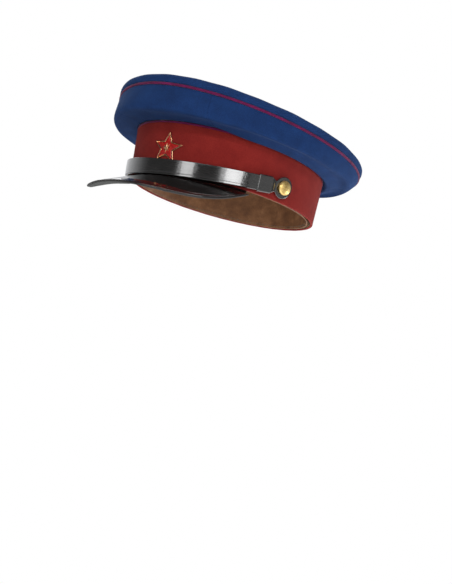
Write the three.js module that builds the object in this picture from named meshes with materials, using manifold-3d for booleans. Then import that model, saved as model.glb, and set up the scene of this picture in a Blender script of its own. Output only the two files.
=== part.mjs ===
// A military peaked cap: cloth crown on a stiff band, glossy peak, chin strap and badge.
// Millimetres, +Z up. The front of the cap faces -Y and the wearer's left side is +X.
// The origin is the centre of the head opening, in the plane of the band's lower edge.
import * as THREE from "three";
import { mergeVertices } from "three/addons/utils/BufferGeometryUtils.js";
import Module from "manifold-3d";

const wasm = await Module();
wasm.setup();

// ---- Driving dimensions ----

const GAP = 0.3; // left between pieces that touch
const RING_STEPS = 48; // facets round the whole cap
const STEP = (2 * Math.PI) / RING_STEPS;

// The band is an oval that widens a little upwards and is taller in front.
const BAND = { halfLength: 101.8, halfWidth: 88.6, height: 44.8, flare: 2.1, shift: -2.8, rise: 0.074 };

// Layers of the band, as distances outwards from its outer face.
const COVER = { outer: 0, inner: -1.2, lip: -2.7, lipHeight: 1.1, top: 43.2 };
const STIFFENER = { outer: -1.5, inner: -2.6, bottom: 1.4, top: 43.4 };
const SWEATBAND = { outer: -5.4, inner: -6.4, bottom: 0.3, top: 36 };
const HOLE = { from: -5, to: 1.5 }; // how far a hole through the band is cut

// The edge of the crown is an egg-shaped ring, higher in front and wider behind.
const CROWN = { halfLength: 130.9, halfWidth: 121.2, egg: 0.138, centreY: -5.9, centreZ: 62.2 };
CROWN.tilt = THREE.MathUtils.degToRad(6);
CROWN.radius = 125; // radius of the round form that is stretched into the egg
const RIM = { height: 11.4, inset: 9.1, bulge: 2.95, cloth: 1.5, dome: 1.6, shoulder: 60 };
// The crown's side leaves the band almost level and turns up to the crown's edge. Its handles
// are lengths, its turns are degrees above level, and the "Front" parts add to them in front.
const WALL = { cloth: 1.4, startOut: 0.3, startHandle: 30.9, endHandle: 27.4, endHandleFront: 12.5 };
WALL.startTurn = 12.3;
WALL.startTurnFront = -1.2;
WALL.endTurn = 75.5;
WALL.endTurnFront = 29;
const SEAM_STEPS = [-4, 4, 18, 30]; // facets from the front to each seam of the crown's side
const PIPING = { crownRadius: 1.5, bandRadius: 0.9, bandOut: -0.5, bandUp: BAND.height };
const HOOP = { radius: 1.1, ring: 116, rise: 4 };
const WADDING = { ring: 109.5, rise: 1.5, halfWidth: 4, halfHeight: 5.5 };
const LINING = { cloth: 0.7, bottomOut: -6.4, bottomUp: 38, bendUp: 49.5, ring: 104.4 };
LINING.topRing = 102.8;
LINING.topRise = -3.6;
LINING.sideRise = -5.2;
LINING.slope = THREE.MathUtils.degToRad(20); // how steeply it climbs above its bend
const SHIELD = { halfLength: 62, halfWidth: 46, thickness: 0.6, drop: 0.4 };

// A spring blade: heights where it lies on the band, shares of the crown's side where it lies there.
const STAY = { halfAngle: 0.16, thickness: 0.6, out: -3, wallDepth: 2.2 };
STAY.onBand = [8, 18, 28, 36, 41];
STAY.bend = { out: -2.4, up: 47.8 };
STAY.onWall = [0.14, 0.32, 0.55, 0.82];

// The peak slopes down and forward from the front of the band, and its flange is sewn up inside.
const PEAK = { reach: 58, endReach: 3, taper: 0.46, endAngle: 0.967, forward: 0.29, base: 2.5, lift: 0.5 };
PEAK.slope = THREE.MathUtils.degToRad(22.3);
PEAK.bow = THREE.MathUtils.degToRad(30.7); // makes it steeper on both sides of the front
PEAK.flatten = THREE.MathUtils.degToRad(40); // makes it flatter again at its corners
PEAK.start = 0.5;
PEAK.thickness = 1.6;
PEAK.lining = 0.5;
const FLANGE = { out: -3.1, top: 7 };
FLANGE.bend = -FLANGE.out * Math.tan(PEAK.slope) - PEAK.base;
const BEAD = { radius: 1, clear: 1.3, ends: 0.999 };

// The strap lies on the peak in front and climbs to the buttons at the sides.
const BUTTON = { angle: 1.32, up: 13.1, radius: 7, wall: 0.8, skirt: 4.2, foot: 5.4, dome: 3.1, hole: 2.4 };
BUTTON.back = { inset: 1.2, from: 4.3, to: 5.1 };
BUTTON.shank = { radius: 1.6, from: -5.1, to: 4 };
BUTTON.washer = { radius: 6, from: -3.8, to: -3.4 };
BUTTON.pin = { radius: 0.35, hole: 0.65, out: -4.4, halfLength: 6 };
const STRAP = { halfWidth: 6.9, neck: 5, frontUp: 3.6, climb: 9.5, tabRadius: 10.2, leather: 1 };
STRAP.innerOut = 2.9;
STRAP.outerOut = 4.2;
STRAP.underTab = 0.05; // how far past the button's middle the strip starts
STRAP.endAngle = 1.136; // where each half ends under the other half's keeper
STRAP.stepAngle = 1.181; // where each half starts to step down to its tab
STRAP.stepLength = 0.05;
const KEEPER = { angle: 1.105, halfAngle: 0.067, wall: 0.8, clear: 0.5 };

// The badge is a five-pointed star a little towards the wearer's left. Its waist is the share of
// its radius at its inner corners. The enamel lies in a tray, and a round boss sits on it.
const BADGE = { radius: 16, waist: 0.45, angle: 0.044, up: 21.3, lean: -0.07, out: 0.6, bend: 78 };
BADGE.stretch = { across: 1.07, up: 0.97 }; // a little wider than a regular star
BADGE.tilt = Math.atan((BAND.flare - BAND.shift) / BAND.height); // as the band leans in front
BADGE.plate = 1;
BADGE.tray = { radius: 13, floor: 0.45 };
BADGE.enamel = { radius: 12.2, from: 0.75, to: 1.15 };
BADGE.boss = { radius: 3.6, from: 1.45, edge: 1.9, step: 2.4, shoulder: 2.5, top: 2.7 };
BADGE.post = { radius: 1.5, from: -5.2, clear: 0.4 };
BADGE.nut = { radius: 5.5, from: -5.1, to: -4.4 };

// ---- Materials ----

function paint(color, roughness, metalness = 0) {
  return new THREE.MeshStandardMaterial({ color, roughness, metalness });
}

const CLOTH_BLUE = paint(0x1c3664, 0.95);
const CLOTH_RED = paint(0x7b241f, 0.95);
const PIPING_CLOTH = paint(0x8c2350, 0.9);
const PATENT_BLACK = paint(0x1f1918, 0.12);
const STRAP_BLACK = paint(0x2a2a2b, 0.2);
const LINING_OILCLOTH = paint(0x161a17, 0.7);
const LINING_SATIN = paint(0x4a4f55, 0.6);
const SWEAT_LEATHER = paint(0x5a3a24, 0.6);
const FIBREBOARD = paint(0x9a8465, 0.9);
const WADDING_FIBRE = paint(0xd8d2c4, 1);
const CLEAR_FILM = paint(0xdfe5e8, 0.1);
const SPRING_STEEL = paint(0x8a8d90, 0.35, 1);
const BRASS = paint(0xc8aa5a, 0.3, 1);
const ENAMEL_RED = paint(0xa01512, 0.15);

// ---- Places on the cap ----
// Angles run from the front (0) past the wearer's left (a quarter turn) to the back.

const UP = new THREE.Vector3(0, 0, 1);

// A point of the band: distance outwards from its face and height above its lower edge.
function bandPoint(angle, out, up) {
  const share = up / BAND.height;
  const grow = out + BAND.flare * share;
  return new THREE.Vector3(
    (BAND.halfWidth + grow) * Math.sin(angle),
    -(BAND.halfLength + grow) * Math.cos(angle) + BAND.shift * share,
    up * (1 + BAND.rise * Math.cos(angle)),
  );
}

function bandNormal(angle) {
  return new THREE.Vector3(
    Math.sin(angle) / BAND.halfWidth,
    -Math.cos(angle) / BAND.halfLength,
    0,
  ).normalize();
}

// A point of the crown's tilted plane, from the round form's radius and height.
function crownPoint(angle, radius, rise) {
  const share = radius / CROWN.radius;
  const along = -CROWN.halfLength * Math.cos(angle) * share;
  const across = CROWN.halfWidth * Math.sin(angle) * (1 - CROWN.egg * Math.cos(angle)) * share;
  return new THREE.Vector3(
    across,
    CROWN.centreY + along * Math.cos(CROWN.tilt) + rise * Math.sin(CROWN.tilt),
    CROWN.centreZ - along * Math.sin(CROWN.tilt) + rise * Math.cos(CROWN.tilt),
  );
}

// The way out from the band to the crown's edge, level.
function wallDirection(angle, start, end) {
  const across = end.clone().sub(start).setZ(0).normalize();
  const radial = new THREE.Vector3(end.x, end.y - CROWN.centreY, 0).normalize();
  return across.add(radial).normalize();
}

// A point of the crown's side: share 0 at the band and 1 at the crown's edge.
function wallPoint(angle, share, depth) {
  const front = Math.cos(angle);
  const start = bandPoint(angle, WALL.startOut, PIPING.bandUp + PIPING.bandRadius + GAP);
  const end = crownPoint(angle, CROWN.radius, -PIPING.crownRadius - GAP);
  const out = wallDirection(angle, start, end);
  const startTurn = THREE.MathUtils.degToRad(WALL.startTurn + WALL.startTurnFront * front);
  const endTurn = THREE.MathUtils.degToRad(WALL.endTurn + WALL.endTurnFront * front);
  const lean = (turn, length) =>
    out.clone().multiplyScalar(Math.cos(turn) * length).addScaledVector(UP, Math.sin(turn) * length);
  const curve = new THREE.CubicBezierCurve3(
    start,
    start.clone().add(lean(startTurn, WALL.startHandle)),
    end.clone().sub(lean(endTurn, WALL.endHandle + WALL.endHandleFront * front)),
    end,
  );
  const tangent = curve.getTangent(share);
  const level = tangent.dot(out);
  const inward = UP.clone().multiplyScalar(level).addScaledVector(out, -tangent.z).normalize();
  return curve.getPoint(share).addScaledVector(inward, depth);
}

// A point of the peak: distance forward from the band and depth below its upper face.
function peakPoint(angle, distance, depth) {
  const along = new THREE.Vector3(0, -PEAK.forward, 0)
    .addScaledVector(bandNormal(angle), 1 - PEAK.forward)
    .normalize();
  const side = (angle / PEAK.endAngle) ** 2;
  const turn = PEAK.slope + PEAK.bow * side - PEAK.flatten * side ** 2;
  const level = distance * Math.cos(turn) - depth * Math.sin(turn);
  const drop = distance * Math.sin(turn) + depth * Math.cos(turn) + PEAK.base - PEAK.lift * side;
  return bandPoint(angle, 0, 0).addScaledVector(along, level).addScaledVector(UP, -drop);
}

function peakReach(angle) {
  const share = Math.max(0, Math.cos((angle / PEAK.endAngle) * (Math.PI / 2)));
  return PEAK.endReach + (PEAK.reach - PEAK.endReach) * share ** PEAK.taper;
}

function strapUp(angle) {
  return STRAP.frontUp + STRAP.climb * (angle / BUTTON.angle) ** 2;
}

// ---- Ways to make a closed mesh ----

function signedVolume(geometry) {
  const points = geometry.attributes.position;
  const corner = [new THREE.Vector3(), new THREE.Vector3(), new THREE.Vector3()];
  let volume = 0;
  for (let i = 0; i < geometry.index.count; i += 3) {
    corner.forEach((c, k) => c.fromBufferAttribute(points, geometry.index.getX(i + k)));
    volume += corner[0].dot(corner[1].clone().cross(corner[2])) / 6;
  }
  return volume;
}

// Merges shared vertices and turns all faces outwards.
function closed(geometry) {
  geometry.deleteAttribute("normal");
  geometry.deleteAttribute("uv");
  const merged = mergeVertices(geometry, 1e-3);
  const faces = [];
  for (let i = 0; i < merged.index.count; i += 3) {
    const face = [0, 1, 2].map((k) => merged.index.getX(i + k));
    if (new Set(face).size === 3) faces.push(face);
  }
  merged.setIndex(faces.flat());
  if (signedVolume(merged) < 0) merged.setIndex(faces.flatMap(([a, b, c]) => [a, c, b]));
  merged.computeVertexNormals();
  return merged;
}

function reshape(geometry, place) {
  const points = geometry.attributes.position;
  const p = new THREE.Vector3();
  for (let i = 0; i < points.count; i++) {
    const q = place(p.fromBufferAttribute(points, i));
    points.setXYZ(i, q.x, q.y, q.z);
  }
  return closed(geometry);
}

// A box with each axis running 0 to 1, bent by place(i, j, k).
function bentBox(steps, place) {
  const box = new THREE.BoxGeometry(1, 1, 1, ...steps);
  return reshape(box, (p) => place(p.x + 0.5, p.y + 0.5, p.z + 0.5));
}

// A ring turned from a profile of [radius, height] and bent by place(angle, radius, height).
// A profile that starts and ends on the axis is left open there; any other one is closed.
function bentRing(profile, place) {
  const onAxis = profile[0][0] === 0;
  const outline = onAxis ? profile : [...profile, profile[0]];
  const lathe = new THREE.LatheGeometry(
    outline.map(([x, y]) => new THREE.Vector2(x, y)),
    RING_STEPS,
  );
  return reshape(lathe, (p) => place(Math.atan2(p.x, p.z), Math.hypot(p.x, p.z), p.y));
}

const BAND_RADIUS = 100; // stands for the band's outer face in a turned profile

function bandRing(profile) {
  return bentRing(
    profile.map(([out, up]) => [BAND_RADIUS + out, up]),
    (angle, radius, up) => bandPoint(angle, radius - BAND_RADIUS, up),
  );
}

function circle(radius, count, x = 0, y = 0, stretch = 1) {
  return Array.from({ length: count }, (_, i) => {
    const turn = ((i + 0.5) * 2 * Math.PI) / count;
    return [x + radius * Math.cos(turn), y + radius * stretch * Math.sin(turn)];
  });
}

function turned(profile, steps = 20) {
  const lathe = new THREE.LatheGeometry(
    profile.map(([x, y]) => new THREE.Vector2(x, y)),
    steps,
  );
  lathe.rotateX(Math.PI / 2);
  return closed(lathe);
}

function rod(radius, from, to, steps = 12) {
  return turned([[0, from], [radius, from], [radius, to], [0, to]], steps);
}

function washer(outer, inner, from, to, steps = 20) {
  return turned([[inner, from], [outer, from], [outer, to], [inner, to], [inner, from]], steps);
}

function solid(geometry) {
  return new wasm.Manifold(
    new wasm.Mesh({
      numProp: 3,
      vertProperties: new Float32Array(geometry.attributes.position.array),
      triVerts: new Uint32Array(geometry.index.array),
    }),
  );
}

function geometryOf(manifold) {
  const made = manifold.getMesh();
  const geometry = new THREE.BufferGeometry();
  geometry.setAttribute("position", new THREE.BufferAttribute(made.vertProperties, 3));
  geometry.setIndex(new THREE.BufferAttribute(made.triVerts, 1));
  geometry.computeVertexNormals();
  return geometry;
}

function cut(geometry, ...tools) {
  return geometryOf(tools.reduce((left, tool) => left.subtract(solid(tool)), solid(geometry)));
}

function join(geometry, ...more) {
  return geometryOf(more.reduce((left, piece) => left.add(solid(piece)), solid(geometry)));
}

// ---- The assembly ----

const cap = new THREE.Group();

function add(name, geometry, material, parent = cap) {
  const mesh = new THREE.Mesh(geometry, material);
  mesh.name = name;
  parent.add(mesh);
  return mesh;
}

// The frame of a fitting on the band: its local +Z points straight out of the cloth.
function bandFrame(angle, up) {
  const out = bandNormal(angle);
  const side = UP.clone().cross(out).normalize();
  const frame = new THREE.Matrix4().makeBasis(side, UP, out);
  return frame.setPosition(bandPoint(angle, 0, up));
}

const buttonFrame = (side) => bandFrame(side * BUTTON.angle, BUTTON.up);
const badgeFrame = bandFrame(BADGE.angle, BADGE.up)
  .multiply(new THREE.Matrix4().makeRotationX(BADGE.tilt))
  .multiply(new THREE.Matrix4().makeRotationZ(BADGE.lean));
const placed = (geometry, frame) => geometry.clone().applyMatrix4(frame);

// Holes through the band for the two button shanks and the badge's screw post.
function bandHoles() {
  return [
    placed(rod(BUTTON.shank.radius + GAP, HOLE.from, HOLE.to), buttonFrame(1)),
    placed(rod(BUTTON.shank.radius + GAP, HOLE.from, HOLE.to), buttonFrame(-1)),
    placed(rod(BADGE.post.radius + GAP, HOLE.from, HOLE.to), badgeFrame),
  ];
}

function addBand() {
  const cover = bandRing([
    [COVER.outer, 0],
    [COVER.outer, COVER.top],
    [COVER.inner, COVER.top],
    [COVER.inner, COVER.lipHeight],
    [COVER.lip, COVER.lipHeight],
    [COVER.lip, 0],
  ]);
  add("band_cover", cut(cover, ...bandHoles()), CLOTH_RED);
  const stiffener = bandRing([
    [STIFFENER.outer, STIFFENER.bottom],
    [STIFFENER.outer, STIFFENER.top],
    [STIFFENER.inner, STIFFENER.top],
    [STIFFENER.inner, STIFFENER.bottom],
  ]);
  add("band_stiffener", cut(stiffener, ...bandHoles()), FIBREBOARD);
  const sweatband = bandRing([
    [SWEATBAND.outer, SWEATBAND.bottom],
    [SWEATBAND.outer, SWEATBAND.top],
    [SWEATBAND.inner, SWEATBAND.top],
    [SWEATBAND.inner, SWEATBAND.bottom],
  ]);
  add("sweatband", sweatband, SWEAT_LEATHER);
  add("band_piping", bandRing(circle(PIPING.bandRadius, 6, PIPING.bandOut, PIPING.bandUp)), PIPING_CLOTH);
}

// Half a rim profile, from the piping up and over to the flat top.
function rimProfile(cloth, steps) {
  return Array.from({ length: steps + 1 }, (_, i) => {
    const turn = (i / steps) * (Math.PI / 2);
    const inset = (RIM.inset - cloth) * (1 - Math.cos(turn)) - RIM.bulge * Math.sin(2 * turn);
    const low = PIPING.crownRadius + GAP;
    return [CROWN.radius - cloth - inset, low + (RIM.height - low - cloth) * Math.sin(turn)];
  });
}

// The height of the slightly domed top at a distance from its middle.
function domeHeight(radius) {
  return RIM.height + RIM.dome * (1 - (radius / (CROWN.radius - RIM.inset)) ** 2);
}

function addCrown() {
  const outside = rimProfile(0, 5);
  const inside = rimProfile(RIM.cloth, 5).reverse();
  const top = [
    [0, domeHeight(0) - RIM.cloth],
    [RIM.shoulder, domeHeight(RIM.shoulder) - RIM.cloth],
    ...inside,
    ...outside,
    [RIM.shoulder, domeHeight(RIM.shoulder)],
    [0, domeHeight(0)],
  ];
  add("crown_top", bentRing(top, crownPoint), CLOTH_BLUE);
  add("crown_piping", bentRing(circle(PIPING.crownRadius, 6, CROWN.radius), crownPoint), PIPING_CLOTH);
  add("crown_hoop", bentRing(circle(HOOP.radius, 6, HOOP.ring, HOOP.rise), crownPoint), SPRING_STEEL);
  const stretch = WADDING.halfHeight / WADDING.halfWidth;
  const roll = circle(WADDING.halfWidth, 6, WADDING.ring, WADDING.rise, stretch);
  add("crown_wadding", bentRing(roll, crownPoint), WADDING_FIBRE);
}

function addWalls() {
  const names = ["crown_front_panel", "crown_left_panel", "crown_rear_panel", "crown_right_panel"];
  const seam = GAP / 2 / CROWN.radius;
  names.forEach((name, i) => {
    const first = SEAM_STEPS[i];
    const last = i < 3 ? SEAM_STEPS[i + 1] : SEAM_STEPS[0] + RING_STEPS;
    const from = first * STEP + seam;
    const to = last * STEP - seam;
    const panel = bentBox([last - first, 7, 1], (along, up, depth) =>
      wallPoint(from + (to - from) * along, up, WALL.cloth * depth),
    );
    add(name, panel, CLOTH_BLUE);
  });
}

function addLining() {
  // Rows 0, 1 and 2 of the sheet are its lower edge, its bend above the band and its upper edge.
  const rows = [10, 11, 12];
  const sheet = [...rows.map((row) => [row, 0]), ...rows.reverse().map((row) => [row, LINING.cloth])];
  const side = bentRing(sheet, (angle, radius, depth) => {
    const row = Math.round(radius) - 10;
    if (row === 2) {
      const inwards = depth * Math.sin(LINING.slope);
      return crownPoint(angle, LINING.ring - inwards, LINING.sideRise + depth * Math.cos(LINING.slope));
    }
    const up = row ? LINING.bendUp + depth * Math.tan(Math.PI / 4 - LINING.slope / 2) : LINING.bottomUp;
    return bandPoint(angle, LINING.bottomOut - depth, up);
  });
  add("lining_side", side, LINING_SATIN);
  const disc = [
    [0, LINING.topRise - LINING.cloth],
    [LINING.topRing, LINING.topRise - LINING.cloth],
    [LINING.topRing, LINING.topRise],
    [0, LINING.topRise],
  ];
  add("lining_top", bentRing(disc, crownPoint), LINING_SATIN);
  const low = LINING.topRise - LINING.cloth - SHIELD.drop - SHIELD.thickness;
  const film = [[0, low], [1, low], [1, low + SHIELD.thickness], [0, low + SHIELD.thickness]];
  const shield = bentRing(film, (angle, radius, rise) => {
    const point = crownPoint(0, 0, rise);
    return point.add(
      new THREE.Vector3(SHIELD.halfWidth * Math.sin(angle), -SHIELD.halfLength * Math.cos(angle), 0)
        .multiplyScalar(radius)
        .applyAxisAngle(new THREE.Vector3(1, 0, 0), -CROWN.tilt),
    );
  });
  add("sweat_shield", shield, CLEAR_FILM);
}

// The blade runs up the inside of the band and holds the front of the crown up.
function addStay() {
  const blade = bentBox([2, 16, 1], (i, j, k) => {
    const angle = STAY.halfAngle * (2 * i - 1);
    const depth = STAY.thickness * k;
    const line = new THREE.CatmullRomCurve3([
      ...STAY.onBand.map((up) => bandPoint(angle, STAY.out - depth, up)),
      bandPoint(angle, STAY.bend.out - depth, STAY.bend.up),
      ...STAY.onWall.map((share) => wallPoint(angle, share, STAY.wallDepth + depth)),
    ]);
    return line.getPoint(j);
  });
  const hole = placed(rod(BADGE.post.radius + 2 * GAP, HOLE.from, 0), badgeFrame);
  add("front_stay", cut(blade, hole), SPRING_STEEL);
}

const peakAngle = (share) => PEAK.endAngle * (2 * share - 1);

// A sheet of the peak between two depths, from its inner edge or its flange to its outer edge.
function peakSheet(top, bottom, withFlange) {
  const mitre = Math.tan(Math.PI / 4 - PEAK.slope / 2);
  const flangeRows = withFlange ? 2 : 0;
  const rows = flangeRows + 4;
  return bentBox([24, rows, 1], (i, j, k) => {
    const angle = peakAngle(i);
    const depth = top + (bottom - top) * k;
    const row = Math.round(j * rows);
    if (row < flangeRows) {
      return bandPoint(angle, FLANGE.out - depth, row ? FLANGE.bend - depth * mitre : FLANGE.top);
    }
    const share = (row - flangeRows) / (rows - flangeRows);
    return peakPoint(angle, PEAK.start + (peakReach(angle) - PEAK.start) * share, depth);
  });
}

function addPeak() {
  add("peak", peakSheet(0, PEAK.thickness, true), PATENT_BLACK);
  const under = PEAK.thickness + GAP;
  add("peak_lining", peakSheet(under, under + PEAK.lining, false), LINING_OILCLOTH);
  const edge = (angle) => peakPoint(angle, peakReach(angle), PEAK.thickness / 2);
  const steps = 40;
  const path = Array.from({ length: steps + 1 }, (_, i) => {
    const angle = peakAngle(i / steps) * BEAD.ends;
    const tangent = edge(angle + 1e-3).sub(edge(angle - 1e-3)).normalize();
    const down = peakPoint(angle, 0, 1).sub(peakPoint(angle, 0, 0)).normalize();
    const out = down.cross(tangent).normalize();
    return edge(angle).addScaledVector(out, BEAD.clear);
  });
  const section = new THREE.Shape(circle(BEAD.radius, 6).map(([x, y]) => new THREE.Vector2(x, y)));
  const bead = new THREE.ExtrudeGeometry(section, {
    steps: 32,
    bevelEnabled: false,
    extrudePath: new THREE.CatmullRomCurve3(path),
  });
  add("peak_edge_bead", closed(bead), PATENT_BLACK);
}

// Half a strap: a round tab on the button, a neck, and a strip right across the front.
function strapHalf(side, out) {
  const from = BUTTON.angle - STRAP.underTab;
  const to = -STRAP.endAngle;
  const strip = bentBox([40, 1, 1], (i, j, k) => {
    const angle = from + (to - from) * i;
    const blend = THREE.MathUtils.smoothstep(angle, STRAP.stepAngle, STRAP.stepAngle + STRAP.stepLength);
    const halfWidth = THREE.MathUtils.lerp(STRAP.halfWidth, STRAP.neck, blend);
    const layer = THREE.MathUtils.lerp(out, STRAP.innerOut, blend) + STRAP.leather * k;
    return bandPoint(side * angle, layer, strapUp(angle) + halfWidth * (2 * j - 1));
  });
  const disc = rod(STRAP.tabRadius, STRAP.innerOut, STRAP.innerOut + STRAP.leather, 28);
  const tab = placed(disc, buttonFrame(side));
  const hole = placed(rod(BUTTON.hole, 0, STRAP.outerOut + 2 * STRAP.leather, 16), buttonFrame(side));
  return cut(join(tab, strip), hole);
}

function addStrap() {
  add("chin_strap_left", strapHalf(1, STRAP.outerOut), STRAP_BLACK);
  add("chin_strap_right", strapHalf(-1, STRAP.innerOut), STRAP_BLACK);
  for (const [name, side] of [["keeper_left", 1], ["keeper_right", -1]]) {
    const sleeve = (grow, reach) =>
      bentBox([4, 1, 1], (i, j, k) => {
        const angle = KEEPER.angle + KEEPER.halfAngle * reach * (2 * i - 1);
        const low = STRAP.innerOut - KEEPER.clear - grow;
        const high = STRAP.outerOut + STRAP.leather + KEEPER.clear + grow;
        const half = STRAP.halfWidth + KEEPER.clear + grow;
        return bandPoint(side * angle, low + (high - low) * k, strapUp(angle) + half * (2 * j - 1));
      });
    const inside = sleeve(0, 1.2); // longer than the keeper, so that it cuts right through
    add(name, cut(sleeve(KEEPER.wall, 1), inside), STRAP_BLACK);
  }
}

function addButton(name, side) {
  const { radius, wall, skirt, foot, back, shank, washer: disc, pin } = BUTTON;
  const frame = buttonFrame(side);
  const dome = (reach, height) =>
    Array.from({ length: 5 }, (_, i) => {
      const turn = (i / 4) * (Math.PI / 2);
      return [reach * Math.cos(turn), foot + height * Math.sin(turn)];
    });
  const outside = dome(radius, BUTTON.dome);
  const inside = dome(radius - wall, BUTTON.dome - wall).reverse();
  const shell = [...outside, ...inside, [radius - wall, skirt], [radius, skirt], outside[0]];
  add(name + "_cap", placed(turned(shell, 18), frame), BRASS);
  add(name + "_back", placed(rod(radius - back.inset, back.from, back.to, 20), frame), BRASS);
  const crosswise = (bar) => bar.rotateY(Math.PI / 2).translate(0, 0, pin.out);
  const pinHole = crosswise(rod(pin.hole, -2 * shank.radius, 2 * shank.radius, 8));
  add(name + "_shank", placed(cut(rod(shank.radius, shank.from, shank.to), pinHole), frame), BRASS);
  const flat = washer(disc.radius, shank.radius + GAP, disc.from, disc.to);
  add(name + "_washer", placed(flat, frame), SPRING_STEEL);
  const wire = crosswise(rod(pin.radius, -pin.halfLength, pin.halfLength, 6));
  add(name + "_split_pin", placed(wire, frame), SPRING_STEEL);
}

// A star plate, bent back at its tips to follow the front of the band.
function starPlate(radius, from, to) {
  const points = Array.from({ length: 10 }, (_, i) => {
    const reach = i % 2 ? radius * BADGE.waist : radius;
    const turn = (i * Math.PI) / 5;
    const { across, up } = BADGE.stretch;
    return new THREE.Vector2(across * reach * Math.sin(turn), up * reach * Math.cos(turn));
  });
  const plate = new THREE.ExtrudeGeometry(new THREE.Shape(points), {
    depth: to - from,
    bevelEnabled: false,
  });
  plate.translate(0, 0, BADGE.out + from);
  return reshape(plate, (p) => p.setZ(p.z - p.x ** 2 / (2 * BADGE.bend)));
}

function addBadge() {
  const { plate, tray, enamel, boss, post, nut } = BADGE;
  const base = cut(starPlate(BADGE.radius, 0, plate), starPlate(tray.radius, tray.floor, 2 * plate));
  add("badge_base", placed(base, badgeFrame), BRASS);
  add("badge_enamel", placed(starPlate(enamel.radius, enamel.from, enamel.to), badgeFrame), ENAMEL_RED);
  const stud = turned([
    [0, boss.from],
    [boss.radius, boss.from],
    [boss.radius, boss.edge],
    [boss.step, boss.shoulder],
    [0, boss.top],
  ]);
  add("badge_boss", placed(stud.translate(0, 0, BADGE.out), badgeFrame), BRASS);
  add("badge_screw_post", placed(rod(post.radius, post.from, BADGE.out - post.clear), badgeFrame), BRASS);
  const ring = washer(nut.radius, post.radius + GAP, nut.from, nut.to, 16);
  add("badge_nut", placed(ring, badgeFrame), BRASS);
}

addBand();
addCrown();
addWalls();
addLining();
addStay();
addPeak();
addStrap();
addButton("button_left", 1);
addButton("button_right", -1);
addBadge();

export default cap;
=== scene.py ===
import math
from types import SimpleNamespace as Sizes

import bpy
import numpy as np
from mathutils import Matrix, Vector


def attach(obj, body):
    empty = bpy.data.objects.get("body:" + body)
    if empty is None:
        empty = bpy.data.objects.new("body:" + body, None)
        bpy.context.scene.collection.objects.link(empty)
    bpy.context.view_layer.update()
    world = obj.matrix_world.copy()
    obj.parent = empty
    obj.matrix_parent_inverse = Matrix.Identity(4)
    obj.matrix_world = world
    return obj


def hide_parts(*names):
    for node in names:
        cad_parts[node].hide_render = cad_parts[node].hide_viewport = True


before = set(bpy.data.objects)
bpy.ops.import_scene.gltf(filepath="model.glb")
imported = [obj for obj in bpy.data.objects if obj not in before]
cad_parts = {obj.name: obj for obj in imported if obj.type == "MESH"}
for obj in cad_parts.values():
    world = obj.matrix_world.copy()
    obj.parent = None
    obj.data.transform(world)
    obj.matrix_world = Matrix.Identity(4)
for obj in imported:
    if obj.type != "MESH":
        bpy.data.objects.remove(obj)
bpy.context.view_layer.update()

# A military peaked cap: wool crown and band, lacquered peak, patent chin strap, enamelled badge.
# Lengths are millimetres, as on the cap's drawings, and become metres when a mesh is made.
# Angles round the cap run from the front (0) past the wearer's left (a quarter turn) to the back.
MM = 0.001
QUARTER = math.pi / 2

# ---- The cap's driving dimensions ----

# They are those of its CAD source, apart from a few fits: the sewn cloth closes over the cords,
# and the crown's cord, the keepers and the peak's bead are a little finer than their solids.
BAND = Sizes(length=101.8, width=88.6, height=44.8, flare=2.1, shift=-2.8, rise=0.074)
COVER = Sizes(thick=1.2, lip=2.7, lip_height=1.1, top=43.95, edge=0.5, seam=0.55)
SWEATBAND = Sizes(out=-5.4, thick=1.0, bottom=0.3, top=36.0, join=0.32, lower_stitch=2.4, upper_stitch=2.0)
CROWN = Sizes(length=130.9, width=121.2, egg=0.138, y=-5.9, z=62.2, radius=125.0, tilt=math.radians(6))
RIM = Sizes(height=11.4, inset=9.1, bulge=2.95, cloth=1.5, dome=1.6)
# The crown's side is a curve from the band to the crown's edge. Each end has a handle: its length,
# what the front adds to it, its turn above level in degrees, and what the front adds to that.
# The cloth rolls rounder than the solid that stands for it, a little less so over the stay.
WALL = Sizes(cloth=1.4, start_out=0.3, rolled_in_front=0.65, length=60.0, seam_gap=0.03)
# How high a panel of the side stands, and how far from its seams it is drawn flat and puckered.
PANEL = Sizes(puff=0.3, flat=9.0, pucker=0.12, puckered=5.0, groove=0.1)
SOLID_CURVE = {"start": (30.9, 0.0, 12.3, -1.2), "end": (27.4, 12.5, 75.5, 29.0)}
CLOTH_CURVE = {"start": (28.5, 0.0, 10.7, -1.2), "end": (25.6, 9.5, 74.5, 27.5)}
OVERHANG = Sizes(front=0.5, aside=3.5, least_at=-0.25, share=0.055, width=0.125)
PIPING = Sizes(crown=1.5, crown_cord=1.35, crown_in=0.5, band=0.9, band_out=-0.5, close=0.4)
GAP = 0.3
LINING = Sizes(cloth=0.7, out=-6.4, bottom=38.0, bend=49.5, ring=104.4, rise=-5.2, pleats=26, puff=0.55)
LINING_TOP = Sizes(ring=102.8, rise=-3.6, gathers=34, gathered=0.12)
SHIELD = Sizes(length=62.0, width=46.0, thick=0.6, drop=0.4, sewn_at=0.94)
WADDING = Sizes(ring=109.5, rise=1.5, width=4.0, height=5.5, loose=0.9)
PEAK = Sizes(reach=58.0, end_reach=3.0, taper=0.46, end=0.967, forward=0.29, start=0.5, thick=1.6, lining=0.5)
# The peak's slope, how much steeper it is on both sides of the front, and flatter at its corners.
SLOPE = Sizes(turn=math.radians(22.3), bow=math.radians(30.7), flatten=math.radians(40), base=2.5, lift=0.5)
FLANGE = Sizes(out=-3.1, top=7.0)
BEAD = Sizes(radius=0.7, clear=1.0, drop=0.25)
BUTTON = Sizes(angle=1.32, up=13.1, radius=7.0, skirt=4.2, edge=5.4, top=8.5, hole=2.4, wall=0.9)
STRAP = Sizes(half=6.9, neck=5.0, up=3.6, climb=9.5, tab=10.2, leather=1.0, inner=2.9, outer=4.2)
STRAP_END = Sizes(angle=1.136, corner=3.5)
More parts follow.
